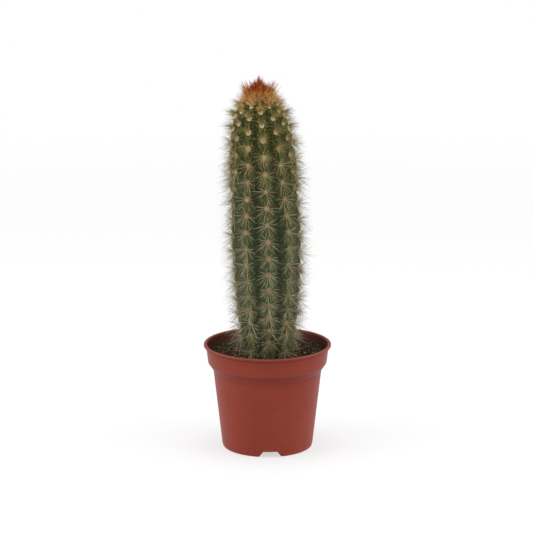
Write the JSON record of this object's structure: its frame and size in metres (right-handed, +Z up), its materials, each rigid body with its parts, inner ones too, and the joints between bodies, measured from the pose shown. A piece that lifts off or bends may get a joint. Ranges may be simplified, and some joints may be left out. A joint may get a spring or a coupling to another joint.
{
  "type": "potted columnar cactus",
  "caption": "Upright ribbed cactus with rows of felted, star-shaped spine clusters and a pointed tuft of young spines, standing in soil in a tapered nursery pot.",
  "frame": {"origin": "on the pot's axis, in the plane of the pot's foot", "axes": "+Z up along the pot's axis; -Y towards the viewer of the picture; +X to that viewer's right"},
  "size_m": [0.105, 0.105, 0.3075],
  "materials": {
    "pot_plastic": "satin",
    "soil": "matte",
    "stem_skin": "satin",
    "young_spines": "matte"
  },
  "bodies": {
    "root": {"nursery_pot": "pot_plastic", "potting_soil": "soil", "cactus_stem": "stem_skin", "crown_spines": "young_spines"}
  },
  "joints": []
}
